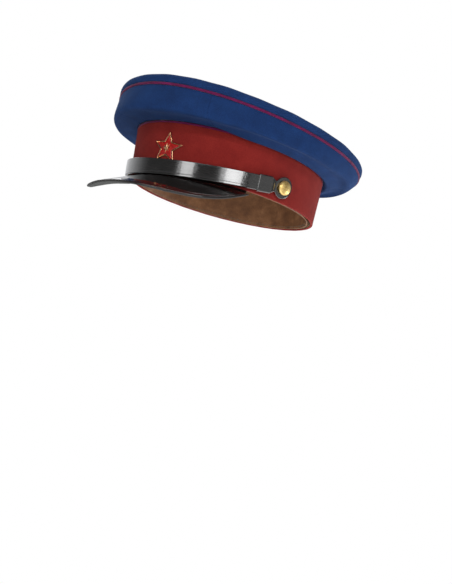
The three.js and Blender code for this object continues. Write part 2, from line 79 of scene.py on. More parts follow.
# The line tooled along the strap's edge, and how far the strap's middle arches.
STRAP_FACE = Sizes(groove=0.035, groove_at=1.7, arch=0.132)
STRAP_NECK = Sizes(start=9.3, end=14.3)  # lengths from the button, where the strap widens again
KEEPER = Sizes(angle=1.105, half_angle=0.067, wall=0.6, clear=0.5, close=0.2, corner=1.3)
BADGE = Sizes(radius=16.0, angle=0.044, up=21.3, lean=-0.07, out=0.6, bend=78.0, across=1.07, tall=0.97)
BADGE.tilt = math.atan((BAND.flare - BAND.shift) / BAND.height)
STAR = Sizes(waist=0.45, plate=1.0, rim=0.55, tray=0.45, enamel=13.0, face=1.15)
EMBLEM = Sizes(radius=4.8, tips=8, waist=0.36, up=1.75)
SEAMS = [math.radians(a) for a in (-30, 30, 135, 225, 330)]
SIDES = {"left": 1, "right": -1}
# Each unevenness has a height in millimetres, or a share of a roll's radius, then a seed, a number
# of waves, and the fewest and most turns that a wave makes round the cap.
RIPPLES = {
    "top_pull": (0.28, 11, 7, 5, 26),
    "top_sag": (0.35, 12, 5, 1, 5),
    "wall": (0.45, 21, 6, 3, 12),
    "cord": (0.035, 31, 5, 20, 60),
    "wadding": (0.06, 41, 6, 8, 40),
    "band": (0.09, 51, 7, 4, 20),
    "hem": (0.06, 52, 5, 10, 40),
    "sweatband": (0.07, 61, 6, 3, 13),
    "lining": (0.025, 71, 6, 1, 6),
    "peak": (0.04, 81, 5, 2, 8),
    "strap": (0.05, 91, 5, 4, 16),
    "keeper": (0.05, 95, 4, 2, 6),
}


# ---- Places on the cap, as arrays of points ----


def points(x, y, z):
    return np.stack(np.broadcast_arrays(x, y, z), -1).astype(float)


def unit(v):
    return v / np.maximum(np.linalg.norm(v, axis=-1, keepdims=True), 1e-12)


def band_point(angle, out, up):
    """Distance outwards from the band's face, and height above its lower edge."""
    share = up / BAND.height
    grow = out + BAND.flare * share
    return points(
        (BAND.width + grow) * np.sin(angle),
        -(BAND.length + grow) * np.cos(angle) + BAND.shift * share,
        up * (1 + BAND.rise * np.cos(angle)),
    )


def band_normal(angle):
    return unit(points(np.sin(angle) / BAND.width, -np.cos(angle) / BAND.length, 0 * angle))


def tilted(across, along, rise):
    """A place in the crown's own frame, which is tilted and stands over the head opening."""
    cos, sin = math.cos(CROWN.tilt), math.sin(CROWN.tilt)
    return points(across, CROWN.y + along * cos + rise * sin, CROWN.z - along * sin + rise * cos)


def crown_point(angle, radius, rise):
    """Radius and height on the round form that is stretched and tilted into the crown."""
    share = radius / CROWN.radius
    along = -CROWN.length * np.cos(angle) * share
    across = CROWN.width * np.sin(angle) * (1 - CROWN.egg * np.cos(angle)) * share
    return tilted(across, along, rise)


def wall_point(angle, share):
    """The crown's side: share 0 at the band and 1 at the crown's edge."""
    front = np.cos(angle)
    start = band_point(angle, WALL.start_out, BAND.height + PIPING.band + GAP - PIPING.close)
    end = crown_point(angle, CROWN.radius, PIPING.close - PIPING.crown - GAP)
    level = np.array([1.0, 1.0, 0.0])
    out = unit(unit((end - start) * level) + unit((end - [0, CROWN.y, 0]) * level))
    rolled = WALL.rolled_in_front + (1 - WALL.rolled_in_front) * smooth(1 - front, 0.05, 0.3)

    def handle(name):
        solid, cloth = np.array(SOLID_CURVE[name]), np.array(CLOTH_CURVE[name])
        curve = solid + (cloth - solid) * rolled[..., None]
        length = curve[..., :1] + curve[..., 1:2] * front[..., None]
        turn = np.radians(curve[..., 2:3] + curve[..., 3:] * front[..., None])
        return (out * np.cos(turn) + [0, 0, 1] * np.sin(turn)) * length

    first, last = start + handle("start"), end - handle("end")
    s = np.asarray(share)[..., None]
    return start * (1 - s) ** 3 + 3 * first * s * (1 - s) ** 2 + 3 * last * s**2 * (1 - s) + end * s**3


def peak_point(angle, distance, depth):
    """Distance forward from the band, and depth below the peak's upper face."""
    along = unit((1 - PEAK.forward) * band_normal(angle) + [0, -PEAK.forward, 0])
    side = (angle / PEAK.end) ** 2
    turn = SLOPE.turn + SLOPE.bow * side - SLOPE.flatten * side**2
    level = distance * np.cos(turn) - depth * np.sin(turn)
    drop = distance * np.sin(turn) + depth * np.cos(turn) + SLOPE.base - SLOPE.lift * side
    return band_point(angle, 0, 0) + along * level[..., None] - points(0, 0, drop)


def peak_reach(angle):
    share = np.clip(np.cos(angle / PEAK.end * QUARTER), 0, 1)
    return PEAK.end_reach + (PEAK.reach - PEAK.end_reach) * share ** PEAK.taper


def strap_up(angle):
    return STRAP.up + STRAP.climb * (angle / BUTTON.angle) ** 2


def band_frame(angle, up):
    """The frame of a fitting on the band: its local +Z points out of the cloth."""
    out = Vector(band_normal(np.array(angle)))
    lift = Vector((0, 0, 1))
    side = lift.cross(out).normalized()
    place = Matrix((side, lift, out)).transposed().to_4x4()
    place.translation = Vector(band_point(np.array(angle), 0, up))
    return place


# ---- Sampling ----


def smooth(value, low, high):
    t = np.clip((value - low) / (high - low), 0, 1)
    return t * t * (3 - 2 * t)


def bell(value, width):
    return np.exp(-((value / width) ** 2))


def from_rear_seam(angle):
    """The length along the band from its seam at the back."""
    return turned_from(angle, math.pi) * BAND.length


def spaced(low, high, step, edge=0.0, fine=1.0):
    """Values from low to high, a step apart, and a fine step apart within edge of both ends."""
    count = max(2, round((high - low) / step) + 1)
    values = np.linspace(low, high, count)
    if edge:
        near = np.arange(0, edge, fine)
        inner = values[(values > low + edge) & (values < high - edge)]
        values = np.concatenate([low + near, inner, (high - near)[::-1]])
    return values


def ring_angles(steps, seams=()):
    """Angles all round, with extra ones close to each seam."""
    reach, fine = 0.03, 0.003
    angles = list(np.linspace(0, 2 * math.pi, steps, endpoint=False))
    for seam in seams:
        near = seam + np.arange(-reach, reach, fine)
        angles = [a for a in angles if abs(turned_from(a, seam)) > reach] + list(near % (2 * math.pi))
    return np.array(sorted(angles))


def turned_from(angle, seam):
    """The angle from a seam, from minus to plus half a turn."""
    return (angle - seam + math.pi) % (2 * math.pi) - math.pi


def ripple(name, angle, across):
    """A smooth random unevenness up and down by about its height, the same on every run.
    across is a length in the other direction than round the cap."""
    height, seed, waves, coarse, fine = RIPPLES[name]
    rng = np.random.default_rng(seed)
    total = 0
    for _ in range(waves):
        turns = rng.integers(coarse, fine)
        slant = rng.uniform(0.02, 0.12)
        total = total + np.sin(turns * angle + slant * across + rng.uniform(0, 2 * math.pi))
    return height * total / waves**0.5 / 1.4


def rounding(distance, radius):
    """How far a face has sunk at this distance from a rounded edge."""
    inside = radius - np.clip(distance, 0, radius)
    return radius - np.sqrt(np.maximum(radius**2 - inside**2, 0))


def rounded(corners, radius, step):
    """A closed outline with its corners rounded and its sides cut into short steps."""
    corners = [np.array(c, float) for c in corners]
    outline = []
    for i, corner in enumerate(corners):
        before, after = corners[i - 1], corners[(i + 1) % len(corners)]
        cut = min(radius, np.linalg.norm(before - corner) / 2.1, np.linalg.norm(after - corner) / 2.1)
        a, b = corner + unit(before - corner) * cut, corner + unit(after - corner) * cut
        outline += [a * (1 - t) ** 2 + 2 * corner * t * (1 - t) + b * t * t for t in np.linspace(0, 1, 6)]
    filled = []
    for a, b in zip(outline, outline[1:] + outline[:1], strict=True):
        pieces = max(1, round(np.linalg.norm(b - a) / step))
        filled += [a + (b - a) * k / pieces for k in range(pieces)]
    return np.array(filled)


def pairs(a, b):
    """Points of an outline, as [distance, height]."""
    return np.stack(np.broadcast_arrays(a, b), -1)


def run_along(path):
    """The length from the start of a path to each of its points."""
    return np.concatenate([[0], np.cumsum(np.linalg.norm(np.diff(path, axis=0), axis=1))])


# ---- Making meshes ----


def add_object(name, data):
    made = bpy.data.objects.new(name, data)
    bpy.context.scene.collection.objects.link(made)
    return made


def mesh_object(name, vertices, faces):
    """A smooth mesh with its faces turned outwards, in metres."""
    mesh = bpy.data.meshes.new(name)
    mesh.from_pydata((np.asarray(vertices) * MM).tolist(), [], [list(map(int, f)) for f in faces])
    mesh.polygons.foreach_set("use_smooth", [True] * len(mesh.polygons))
    if signed_volume(mesh) < 0:
        mesh.flip_normals()
    mesh.update()
    return add_object(name, mesh)


def signed_volume(mesh):
    mesh.calc_loop_triangles()
    co = np.array([v.co for v in mesh.vertices])
    tri = np.array([t.vertices for t in mesh.loop_triangles])
    a, b, c = co[tri[:, 0]], co[tri[:, 1]], co[tri[:, 2]]
    return float((a * np.cross(b, c)).sum())


def quads(rows, columns, wrap_rows, wrap_columns, first=0):
    i = np.arange(rows if wrap_rows else rows - 1)[:, None]
    j = np.arange(columns if wrap_columns else columns - 1)[None, :]
    k, m = (i + 1) % rows, (j + 1) % columns
    corners = [i * columns + j, k * columns + j, k * columns + m, i * columns + m]
    return first + np.stack(np.broadcast_arrays(*corners), -1).reshape(-1, 4)


def ring_mesh(name, angles, section, place):
    """A closed outline of [distance, height] swept all round by place(angle, distance, height)."""
    angle, distance = np.meshgrid(angles, section[:, 0], indexing="ij")
    grid = place(angle, distance, np.broadcast_to(section[:, 1], distance.shape))
    return mesh_object(name, grid.reshape(-1, 3), quads(len(angles), len(section), True, True))


def fan_mesh(name, grid, top, bottom):
    """Rows of points all round an axis, closed to one point at the top and one at the bottom."""
    rows, columns = grid.shape[:2]
    faces = quads(rows, columns, True, False).tolist()
    for i in range(rows):
        k = (i + 1) % rows
        faces.append((rows * columns, k * columns, i * columns))
        faces.append((rows * columns + 1, i * columns + columns - 1, k * columns + columns - 1))
    return mesh_object(name, np.vstack([grid.reshape(-1, 3), top, bottom]), faces)


def disc_mesh(name, angles, section, place):
    """An outline from the axis out and back to the axis, swept all round."""
    grid = place(*np.meshgrid(angles, section[1:-1, 0], indexing="ij"), section[1:-1, 1][None, :])
    top, bottom = (place(np.zeros(1), *section[k][:, None])[0] for k in (0, -1))
    return fan_mesh(name, grid, top, bottom)


def grid_normals(grid, wrap_rows):
    padded = np.concatenate([grid[-1:], grid, grid[:1]]) if wrap_rows else grid
    along = np.gradient(padded, axis=0)
    along = along[1:-1] if wrap_rows else along
    return unit(np.cross(along, np.gradient(grid, axis=1)))


def slab(name, grid, thick, outwards, sink=0.0, back_sink=0.0, wrap_rows=False):
    """A sheet with two faces: the grid's own, sunk by sink, and one that is thick below it.
    outwards is a rough direction that the grid's own face looks in."""
    normal = grid_normals(grid, wrap_rows)
    if (normal * outwards).sum() < 0:
        normal = -normal
    sink, back = (np.broadcast_to(v, grid.shape[:2])[..., None] for v in (sink, back_sink))
    front, rear = grid - normal * sink, grid - normal * (thick - back)
    rows, columns = grid.shape[:2]
    size = rows * columns
    faces = [quads(rows, columns, wrap_rows, False), quads(rows, columns, wrap_rows, False, size)[:, ::-1]]
    span = range(rows) if wrap_rows else range(rows - 1)
    edges = [(i * columns, (i + 1) % rows * columns) for i in span]
    edges += [((i + 1) % rows * columns + columns - 1, i * columns + columns - 1) for i in span]
    if not wrap_rows:
        edges += [(j + 1, j) for j in range(columns - 1)]
        edges += [(size - columns + j, size - columns + j + 1) for j in range(columns - 1)]
    sides = [(a, a + size, b + size, b) for a, b in edges]
    everything = np.vstack([front.reshape(-1, 3), rear.reshape(-1, 3)])
    return mesh_object(name, everything, np.vstack(faces).tolist() + sides)


def tube_points(path, across, over, radius, sides):
    """A ring of points round each point of a path."""
    turn = ring_angles(sides)[:, None]
    ring = across[:, None] * np.cos(turn) + over[:, None] * np.sin(turn)
    return (path[:, None] + ring * radius[:, None, None]).reshape(-1, 3)


def tube_faces(rings, sides, first=0):
    """The faces between rings of points, and one over each end."""
    last = first + (rings - 1) * sides
    ends = [list(range(first, first + sides))[::-1], list(range(last, last + sides))]
    return quads(rings, sides, False, True, first).tolist() + ends


def tube_mesh(name, path, radius, sides):
    """A tube of that radius along an open path, with rounded ends."""
    tangent = unit(np.gradient(path, axis=0))
    across = unit(np.cross(tangent, [0, 0, 1]))
    length = run_along(path)
    end = np.minimum(length, length[-1] - length)
    swell = radius * np.sqrt(np.clip(1 - (1 - np.clip(end / radius, 0.02, 1)) ** 2, 0, 1))
    vertices = tube_points(path, across, np.cross(across, tangent), swell, sides)
    return mesh_object(name, vertices, tube_faces(len(path), sides))


def stitches(name, path, normal, length, gap, radius):
    """A closed row of thread stitches that dip into the surface at both ends."""
    path, normal = np.vstack([path, path[:1]]), np.vstack([normal, normal[:1]])
    run = run_along(path)
    count = int(run[-1] // (length + gap))
    taper = np.array([0.5, 0.95, 1, 1, 0.95, 0.5])
    share = np.linspace(0, 1, len(taper))
    sides = 6
    vertices, faces = [], []
    for i in range(count):
        at = (i + 0.5) * run[-1] / count + (share - 0.5) * length
        line = np.stack([np.interp(at, run, path[:, k]) for k in range(3)], -1)
        out = unit(np.stack([np.interp(at, run, normal[:, k]) for k in range(3)], -1))
        side = unit(np.cross(out, unit(np.gradient(line, axis=0))))
        arch = radius * (np.sin(share * math.pi) ** 0.5 * 1.1 - 0.7)
        faces += tube_faces(len(share), sides, len(vertices) * len(share) * sides)
        vertices.append(tube_points(line + out * arch[:, None], side, out, radius * taper, sides))
    return mesh_object(name, np.vstack(vertices), faces)


def placed(piece, place):
    """A piece made in millimetres about a fitting's own frame, put on the cap."""
    move = place.copy()
    move.translation *= MM
    piece.data.transform(move)
    piece.data.update()
    return piece


def put(piece, slot, *nodes, body="cap", finish=None):
    """The piece rides on a body, takes the slot's finish or another, and stands for CAD nodes."""
    piece.data.materials.append(FINISH[finish or slot])
    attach(piece, body)
    if nodes:
        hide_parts(*nodes)
    return piece


# ---- Materials ----


def linear(colour):
    """A colour as it is named on screen, 0 to 255, as the light that a shader takes."""
    share = np.array(colour) / 255
    light = np.where(share <= 0.04045, share / 12.92, ((share + 0.055) / 1.055) ** 2.4)
    return (*light.tolist(), 1.0)


def add_node(tree, kind, inputs, **settings):
    """A shader node. Each input is a number, a colour or another node's output."""
    made = tree.nodes.new(f"ShaderNode{kind}")
    for name, value in settings.items():
        setattr(made, name, value)
    for name, value in inputs.items():
        if isinstance(value, bpy.types.NodeSocket):
            tree.links.new(value, made.inputs[name])
        else:
            made.inputs[name].default_value = value
    return made


class Finish:
    """A Principled material whose colour, gloss and relief vary over the surface."""

    def __init__(self, name, **settings):
        self.material = bpy.data.materials.new(name)
        self.material.use_nodes = True
        self.tree = self.material.node_tree
        self.shader = self.tree.nodes["Principled BSDF"]
        self.place = add_node(self.tree, "TexCoord", {}).outputs["Object"]
        for socket, value in settings.items():
            self.shader.inputs[socket.replace("_", " ")].default_value = value

    def link(self, source, target):
        self.tree.links.new(source, target)

    def noise(self, size, detail=4.0, rough=0.6, stretch=(1, 1, 1)):
        """Noise whose features are about size millimetres across."""
        place = self.place
        if stretch != (1, 1, 1):
            place = add_node(self.tree, "Mapping", {"Scale": stretch, "Vector": place}).outputs["Vector"]
        inputs = {"Scale": 1 / (size * MM), "Detail": detail, "Roughness": rough, "Vector": place}
        return add_node(self.tree, "TexNoise", inputs).outputs["Fac"]

    def cells(self, size):
        """The distance from the edges of cells about size millimetres across."""
        inputs = {"Scale": 1 / (size * MM), "Vector": self.place}
        made = add_node(self.tree, "TexVoronoi", inputs, feature="DISTANCE_TO_EDGE")
        return made.outputs["Distance"]

    def sum(self, *parts):
        """Each part is a value and its weight."""
        total = 0.0
        for value, weight in parts:
            inputs = {0: value, 1: weight, 2: total}
            total = add_node(self.tree, "Math", inputs, operation="MULTIPLY_ADD").outputs[0]
        return total

    def colour(self, value, *stops):
        """Stops are positions and colours."""
        made = add_node(self.tree, "ValToRGB", {"Fac": value})
        elements = made.color_ramp.elements
        while len(elements) < len(stops):
            elements.new(0.5)
        for element, (position, colour) in zip(elements, stops, strict=True):
            element.position = position
            element.color = linear(colour)
        self.link(made.outputs["Color"], self.shader.inputs["Base Color"])

    def gloss(self, value, low, high):
        """Roughness from low to high as the value goes from 0.3 to 0.7."""
        inputs = {"Value": value, "From Min": 0.3, "From Max": 0.7, "To Min": low, "To Max": high}
        made = add_node(self.tree, "MapRange", inputs)
        self.link(made.outputs["Result"], self.shader.inputs["Roughness"])

    def relief(self, *layers):
        """Each layer is a value, its height in millimetres and its strength."""
        below = {}
        for value, height, strength in layers:
            inputs = {"Height": value, "Distance": height * MM, "Strength": strength, **below}
            below = {"Normal": add_node(self.tree, "Bump", inputs).outputs["Normal"]}
        self.link(below["Normal"], self.shader.inputs["Normal"])
        return self.material


def broadcloth(name, deep, middle, light, tint, sheen):
    """Fulled wool: uneven dye, a short nap and stray lighter fibres."""
    made = Finish(name, Roughness=0.96, Specular_IOR_Level=0.18, Sheen_Weight=sheen, Sheen_Roughness=0.55)
    made.shader.inputs["Sheen Tint"].default_value = linear(tint)
    dye = made.noise(16, 3)
    nap = made.noise(0.9, 6, 0.75)
    fibre = made.noise(0.35, 2, 0.5, stretch=(1, 1, 2.5))
    made.colour(made.sum((dye, 0.25), (nap, 0.55), (fibre, 0.2)), (0.36, deep), (0.5, middle), (0.66, light))
    return made.relief((made.noise(5, 3), 0.25, 0.25), (nap, 0.22, 0.5), (fibre, 0.1, 0.4))


def piping_cloth(name):
    """A cord covered in fine twill."""
    made = Finish(name, Roughness=0.85, Specular_IOR_Level=0.15, Sheen_Weight=0.1)
    nap = made.noise(0.6, 5, 0.7)
    dye = made.sum((made.noise(9, 3), 0.4), (nap, 0.6))
    made.colour(dye, (0.36, (60, 4, 40)), (0.5, (86, 8, 58)), (0.68, (108, 20, 78)))
    return made.relief((nap, 0.18, 0.55), (made.noise(2.6, 2), 0.2, 0.3))


def patent_leather(name, ground, warm, waves, grain, mirror):
    """Lacquered black leather, slightly uneven, with a few fine scuffs."""
    made = Finish(name, Specular_IOR_Level=0.5 + 0.3 * mirror, Coat_Weight=mirror, Coat_Roughness=0.05)
    scuff = made.noise(0.5, 6, 0.8)
    made.colour(made.sum((made.noise(20, 4), 0.7), (scuff, 0.3)), (0.35, ground), (0.65, warm))
    made.gloss(made.sum((made.noise(7, 5), 0.6), (scuff, 0.4)), 0.05, 0.13)
    pores = (made.noise(1.3, 3), grain, 0.5), (made.cells(0.8), grain, 0.35)
    return made.relief((made.noise(6, 3), waves, 0.5), *pores)


def brass(name):
    """Stamped brass, bright on its faces and dulled by handling."""
    made = Finish(name, Metallic=0.8, Coat_Weight=0.15, Coat_Roughness=0.1)
    tarnish = made.noise(2.6, 6, 0.7)
    made.colour(tarnish, (0.3, (186, 148, 82)), (0.5, (226, 192, 118)), (0.7, (242, 216, 150)))
    made.gloss(made.sum((tarnish, 0.7), (made.noise(0.4, 4), 0.3)), 0.26, 0.42)
    return made.relief((made.noise(0.5, 4), 0.05, 0.35), (made.noise(1.8, 2), 0.06, 0.3))


def gilt(name):
    """Rose-gold plating on the badge, polished enough to mirror the room."""
    made = Finish(name, Metallic=1.0)
    wear = made.noise(1.6, 5, 0.7)
    made.colour(wear, (0.3, (176, 122, 84)), (0.5, (214, 164, 122)), (0.7, (238, 200, 160)))
    made.gloss(wear, 0.14, 0.28)
    return made.relief((made.noise(0.6, 4), 0.04, 0.3))


def enamel(name):
    """Fired glass enamel over a stamped ground."""
    made = Finish(name, Specular_IOR_Level=0.4, Coat_Weight=0.5, Coat_Roughness=0.06)
    flow = made.noise(3.2, 3)
    glass = made.sum((flow, 0.7), (made.noise(0.5, 3), 0.3))
    made.colour(glass, (0.36, (128, 10, 10)), (0.52, (158, 20, 16)), (0.68, (184, 36, 28)))
    made.gloss(flow, 0.12, 0.22)
    return made.relief((flow, 0.12, 0.4))


def leather(name, deep, middle, light, pore):
    """Chrome-tanned leather with a pebbled grain."""
    made = Finish(name, Specular_IOR_Level=0.4)
    grain = made.cells(pore)
    stain = made.noise(14, 5)
    made.colour(made.sum((stain, 0.7), (made.noise(1.2, 4), 0.3)), (0.34, deep), (0.5, middle), (0.68, light))
    made.gloss(made.sum((stain, 0.5), (grain, 0.5)), 0.5, 0.7)
    return made.relief((made.noise(4, 3), 0.3, 0.3), (grain, 0.22, 0.5))


def satin(name):
    """Cotton-backed lining satin with fine threads both ways."""
    made = Finish(name, Specular_IOR_Level=0.45, Sheen_Weight=0.3, Sheen_Roughness=0.3)
    warp = made.noise(0.45, 2, 0.5, stretch=(6, 1, 1))
    weft = made.noise(0.45, 2, 0.5, stretch=(1, 6, 1))
    dye = made.sum((made.noise(18, 4), 0.5), (warp, 0.3), (weft, 0.2))
    made.colour(dye, (0.36, (52, 58, 66)), (0.66, (92, 98, 106)))
    made.gloss(made.noise(8, 3), 0.32, 0.5)
    return made.relief((made.noise(9, 3), 0.6, 0.4), (warp, 0.06, 0.4), (weft, 0.06, 0.4))


def plain(name, grain, stops, gloss, relief, **settings):
    """A finish whose colour, gloss and relief all follow one grain."""
    made = Finish(name, **settings)
    value = made.noise(*grain)
    made.colour(value, *stops)
    if gloss:
        made.gloss(value, *gloss)
    return made.relief((value, *relief))


def fibreboard(name):
    stops = (0.3, (118, 98, 70)), (0.5, (154, 132, 101)), (0.7, (184, 164, 132))
    return plain(name, (0.8, 6, 0.8), stops, (0.8, 0.95), (0.2, 0.5), Specular_IOR_Level=0.2)


def felted_wadding(name):
    stops = (0.3, (176, 168, 150)), (0.7, (226, 220, 206))
    settings = {"Roughness": 1.0, "Sheen_Weight": 0.5, "Specular_IOR_Level": 0.1}
    return plain(name, (2.2, 8, 0.85), stops, None, (0.8, 0.7), **settings)


def spring_steel(name):
    stops = (0.3, (112, 114, 116)), (0.7, (168, 170, 172))
    return plain(name, (1.5, 5, 0.7, (1, 1, 0.2)), stops, (0.25, 0.42), (0.03, 0.3), Metallic=1.0)


def sewing_thread(name):
    stops = (0.35, (74, 60, 46)), (0.65, (120, 102, 80))
    return plain(name, (0.3, 2, 0.5), stops, None, (0.08, 0.5), Roughness=0.7, Sheen_Weight=0.2)


def clear_film(name):
    made = Finish(name, Alpha=0.32, Specular_IOR_Level=0.6, Coat_Weight=0.4, Coat_Roughness=0.06)
    haze = made.noise(7, 4)
    made.colour(haze, (0.3, (206, 212, 212)), (0.7, (232, 236, 234)))
    made.gloss(haze, 0.08, 0.22)
    return made.relief((made.noise(12, 3), 0.5, 0.4))


LOOKS = {
    "crown_cloth": (broadcloth, (9, 29, 64), (14, 40, 82), (24, 54, 102), (70, 112, 170), 0.18),
    "band_cloth": (broadcloth, (90, 18, 17), (113, 26, 22), (132, 40, 34), (170, 90, 84), 0.16),
    "piping_cloth": (piping_cloth,),
    "patent_black": (patent_leather, (14, 11, 11), (26, 20, 19), 0.06, 0.004, 0.35),
    "strap_black": (patent_leather, (17, 16, 15), (30, 28, 27), 0.16, 0.11, 1.0),
    "peak_lining": (leather, (14, 17, 15), (21, 24, 22), (32, 36, 33), 0.8),
    "bead_black": (leather, (12, 10, 10), (19, 16, 16), (28, 25, 25), 0.8),
    "sweat_leather": (leather, (88, 54, 32), (118, 78, 48), (148, 104, 70), 1.3),
    "lining_satin": (satin,),
    "fibreboard": (fibreboard,),
    "wadding": (felted_wadding,),
    "clear_film": (clear_film,),
    "spring_steel": (spring_steel,),
    "brass": (brass,),
    "badge_gilt": (gilt,),
    "enamel_red": (enamel,),
    "sewing_thread": (sewing_thread,),
}
FINISH = {name: make(name, *look) for name, (make, *look) in LOOKS.items()}


# ---- Camera, lights and floor ----

VIEW = Sizes(azimuth=37.54, elevation=-6.97, roll=13.67, distance=1484.7, lens=91.79)
VIEW.aside, VIEW.above = -4.1, 89.5  # where the origin stands from the middle of the view
FLOOR = -0.42
LIT_POINT = Vector((0, 0, 0.03))
# Each light's azimuth, elevation, distance, width, height and power, in degrees, metres and watts.
# Two keys stand beside the camera, each with a dim spill along its edge, and a strip over them.
SOFTBOXES = {
    "key_left": (4.5, 3, 1.7, 0.47, 0.5, 3.9),
    "key_left_spill": (-6, 3, 1.7, 0.13, 0.5, 0.3),
    "key_right": (58.5, 3, 1.7, 0.55, 0.5, 7),
    "key_right_spill": (46.5, 3, 1.7, 0.15, 0.5, 0.7),
    "front_strip": (38, 18.5, 1.8, 1.8, 0.2, 14),
    "top": (50, 82, 1.6, 1.3, 1.3, 12),
    "side_right": (98, 3, 1.7, 1.4, 0.6, 1.0),
    "floor_bounce": (0, -90, 0.42, 1.0, 1.0, 2.7),
    "rim_left": (-112, 38, 1.7, 0.8, 0.8, 8),
    "fill_low": (150, -11, 1.3, 0.9, 0.26, 7.5),
}
BACKDROP = (-0.6, 0.79, -0.2)  # the way to the room's bright side, beyond the cap from the camera


def direction(azimuth, elevation):
    """The way from the cap to a camera or a light at these angles, in degrees."""
    a, e = math.radians(azimuth), math.radians(elevation)
    return Vector((math.sin(a) * math.cos(e), -math.cos(a) * math.cos(e), math.sin(e)))


def add_camera():
    """The cap is seen from its left front, a little from below, with the camera rolled."""
    back = direction(VIEW.azimuth, VIEW.elevation)
    level = direction(VIEW.azimuth + 90, 0)
    upright = back.cross(level)
    roll = math.radians(VIEW.roll)
    right = level * math.cos(roll) + upright * math.sin(roll)
    up = upright * math.cos(roll) - level * math.sin(roll)
    place = Matrix((right, up, back)).transposed().to_4x4()
    place.translation = (back * VIEW.distance - right * VIEW.aside - up * VIEW.above) * MM
    data = bpy.data.cameras.new("camera")
    data.lens = VIEW.lens
    data.sensor_width = 36
    data.clip_end = 100
    camera = add_object("camera", data)
    camera.matrix_world = place
    bpy.context.scene.camera = camera


def add_softbox(name, azimuth, elevation, distance, width, height, power):
    """A soft light at that azimuth and elevation, facing the cap."""
    away = direction(azimuth, elevation)
    data = bpy.data.lights.new(name, "AREA")
    data.shape = "RECTANGLE"
    data.size = width
    data.size_y = height
    data.energy = power
    light = add_object(name, data)
    light.location = LIT_POINT + away * distance
    light.rotation_euler = away.to_track_quat("Z", "Y").to_euler()


def seen_white(tree, shader, kind):
    """Plain white where the camera looks straight at it, and the given shader for all other light."""
    path = add_node(tree, "LightPath", {})
    white = add_node(tree, kind, {"Strength": 1.0, "Color": (1, 1, 1, 1)})
    inputs = {"Fac": path.outputs["Is Camera Ray"], 1: shader.outputs[0], 2: white.outputs[0]}
    return add_node(tree, "MixShader", inputs).outputs["Shader"]


def light_room(tree):
    """A dim room with a white backdrop on the far side from the camera."""
    way = add_node(tree, "TexCoord", {}).outputs["Generated"]
    facing = add_node(tree, "VectorMath", {0: way, 1: BACKDROP}, operation="DOT_PRODUCT").outputs["Value"]
    inputs = {"Value": facing, "From Min": 0.0, "From Max": 0.7, "To Min": 0.12, "To Max": 0.72}
    strength = add_node(tree, "MapRange", inputs, interpolation_type="SMOOTHSTEP")
    room = tree.nodes["Background"]
    room.inputs["Color"].default_value = (0.97, 0.98, 1.0, 1)
    tree.links.new(strength.outputs["Result"], room.inputs["Strength"])
    return room


def add_studio():
    """The softboxes, a white room and a plain pale floor that the camera sees as white."""
    for name, light in SOFTBOXES.items():
        add_softbox(name, *light)
    world = bpy.data.worlds.new("room")
    bpy.context.scene.world = world
    world.use_nodes = True
    tree = world.node_tree
    shown = seen_white(tree, light_room(tree), "Background")
    tree.links.new(shown, tree.nodes["World Output"].inputs["Surface"])
    paper = Finish("paper", Roughness=0.9, Specular_IOR_Level=0.1)
    paper.colour(paper.noise(40, 3), (0.3, (238, 238, 238)), (0.7, (246, 246, 246)))
    output = paper.tree.nodes["Material Output"]
    paper.link(seen_white(paper.tree, paper.shader, "Emission"), output.inputs["Surface"])
    bpy.ops.mesh.primitive_plane_add(size=60, location=(0, 0, FLOOR))
    floor = bpy.context.object
    floor.name = "floor"
    floor.data.materials.append(paper.material)
    bpy.context.scene.view_settings.view_transform = "Standard"


# ---- Crown ----


def rim_outline(cloth, steps):
    """The rim's outline, this deep in the cloth, from the piping up and over to the flat top."""
    turn = np.linspace(0, QUARTER, steps)
    inset = (RIM.inset - cloth) * (1 - np.cos(turn)) - RIM.bulge * np.sin(2 * turn)
    low = PIPING.crown + GAP - PIPING.close
    return pairs(CROWN.radius - cloth - inset, low + (RIM.height - low - cloth) * np.sin(turn))


def flat_top(cloth, steps):
    """The top's outline from the rim in to the centre, a little domed."""
    edge = CROWN.radius - RIM.inset
    radius = np.linspace(edge, 0, steps)[1:]
    rise = RIM.height - cloth + RIM.dome * (1 - (radius / edge) ** 2)
    return pairs(radius, rise)


def add_crown_top():
    outside = np.vstack([rim_outline(0, 28), flat_top(0, 34)])
    inside = np.vstack([rim_outline(RIM.cloth, 10), flat_top(RIM.cloth, 12)])
    section = np.vstack([outside[::-1], inside])

    def place(angle, radius, rise):
        outer = smooth(radius, 60, 118) * (1 - smooth(radius, 121.5, 124.5) * (rise < 4))
        pull = ripple("top_pull", angle, radius) * outer
        sag = ripple("top_sag", angle, radius) * smooth(radius, 0, 50) * (radius < 119)
        return crown_point(angle, radius, rise + pull + sag)

    top = disc_mesh("crown_top_cloth", ring_angles(360), section, place)
    put(top, "crown_cloth", "crown_top")


def overhang(angle, share):
    """How far the cloth rolls down over the band's cord, more at the sides than in front."""
    aside = smooth(np.abs(turned_from(angle, OVERHANG.least_at)), 0.7, 1.15)
    roll = bell(share - OVERHANG.share, OVERHANG.width)
    held = bell(OVERHANG.share, OVERHANG.width) * (1 - smooth(share, 0, 0.05))
    return (OVERHANG.front + OVERHANG.aside * aside) * (roll - held)


